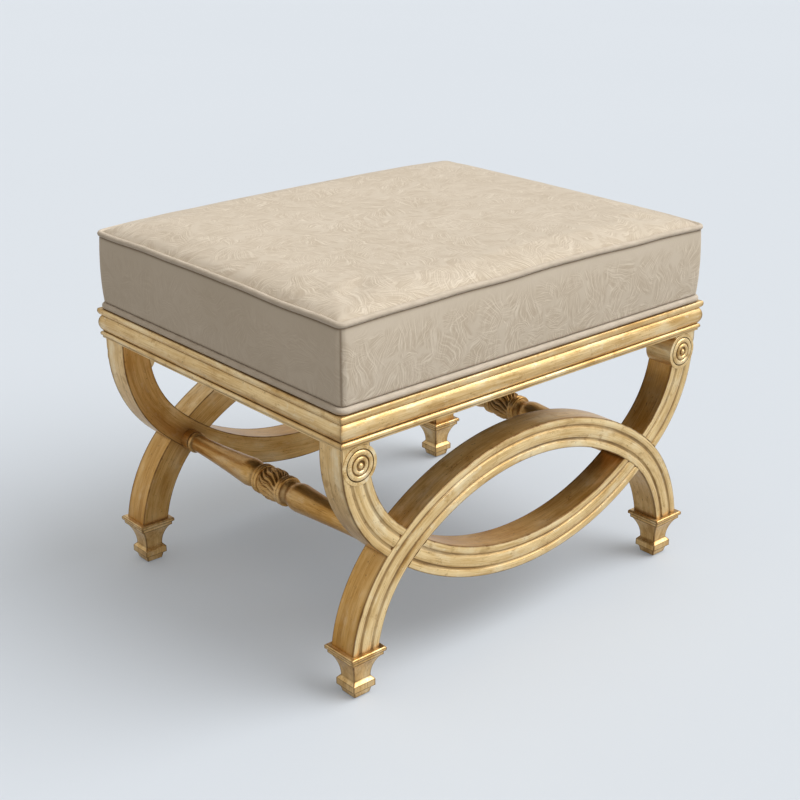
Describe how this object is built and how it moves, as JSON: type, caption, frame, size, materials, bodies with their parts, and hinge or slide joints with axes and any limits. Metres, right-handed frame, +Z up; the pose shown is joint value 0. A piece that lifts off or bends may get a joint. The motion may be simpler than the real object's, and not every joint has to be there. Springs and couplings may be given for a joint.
{
  "type": "upholstered stool",
  "caption": "Low gilded stool with crossed curved end frames, turned stretchers, spade feet, a moulded seat rail and a piped box cushion in pale beige patterned fabric",
  "frame": {"origin": "on the floor, under the middle of the seat", "axes": "+X to the right along the longer side of the seat, -Y to the front frame with the rosettes that face the viewer, +Z up"},
  "size_m": [0.612, 0.498, 0.4816],
  "materials": {
    "gilded_wood": "satin",
    "beech": "matte",
    "plywood": "matte",
    "upholstery": "matte",
    "cord": "matte",
    "foam": "matte",
    "wadding": "matte",
    "dust_cloth": "matte",
    "steel": "satin",
    "glide_nylon": "matte"
  },
  "bodies": {
    "root": {"back_boxing": "upholstery", "back_hanging_arc": "gilded_wood", "back_left_corner_block": "beech", "back_left_foot": "gilded_wood", "back_left_rosette": "gilded_wood", "back_rail": "gilded_wood", "back_right_corner_block": "beech", "back_right_foot": "gilded_wood", "back_right_rosette": "gilded_wood", "back_standing_arch": "gilded_wood", "bottom_piping": "upholstery", "bottom_piping_cord": "cord", "corner_block_screws": "steel", "cover_top_panel": "upholstery", "dust_cover": "dust_cloth", "eye_dowels": "beech", "foam_core": "foam", "foot_dowels": "beech", "foot_glides": "glide_nylon", "front_boxing": "upholstery", "front_hanging_arc": "gilded_wood", "front_left_corner_block": "beech", "front_left_foot": "gilded_wood", "front_left_rosette": "gilded_wood", "front_rail": "gilded_wood", "front_right_corner_block": "beech", "front_right_foot": "gilded_wood", "front_right_rosette": "gilded_wood", "front_standing_arch": "gilded_wood", "left_boxing": "upholstery", "left_rail": "gilded_wood", "left_stretcher": "gilded_wood", "mitre_tenons": "beech", "right_boxing": "upholstery", "right_rail": "gilded_wood", "right_stretcher": "gilded_wood", "seat_board": "plywood", "seat_screws": "steel", "top_piping": "upholstery", "top_piping_cord": "cord", "wadding_wrap": "wadding"}
  },
  "joints": []
}
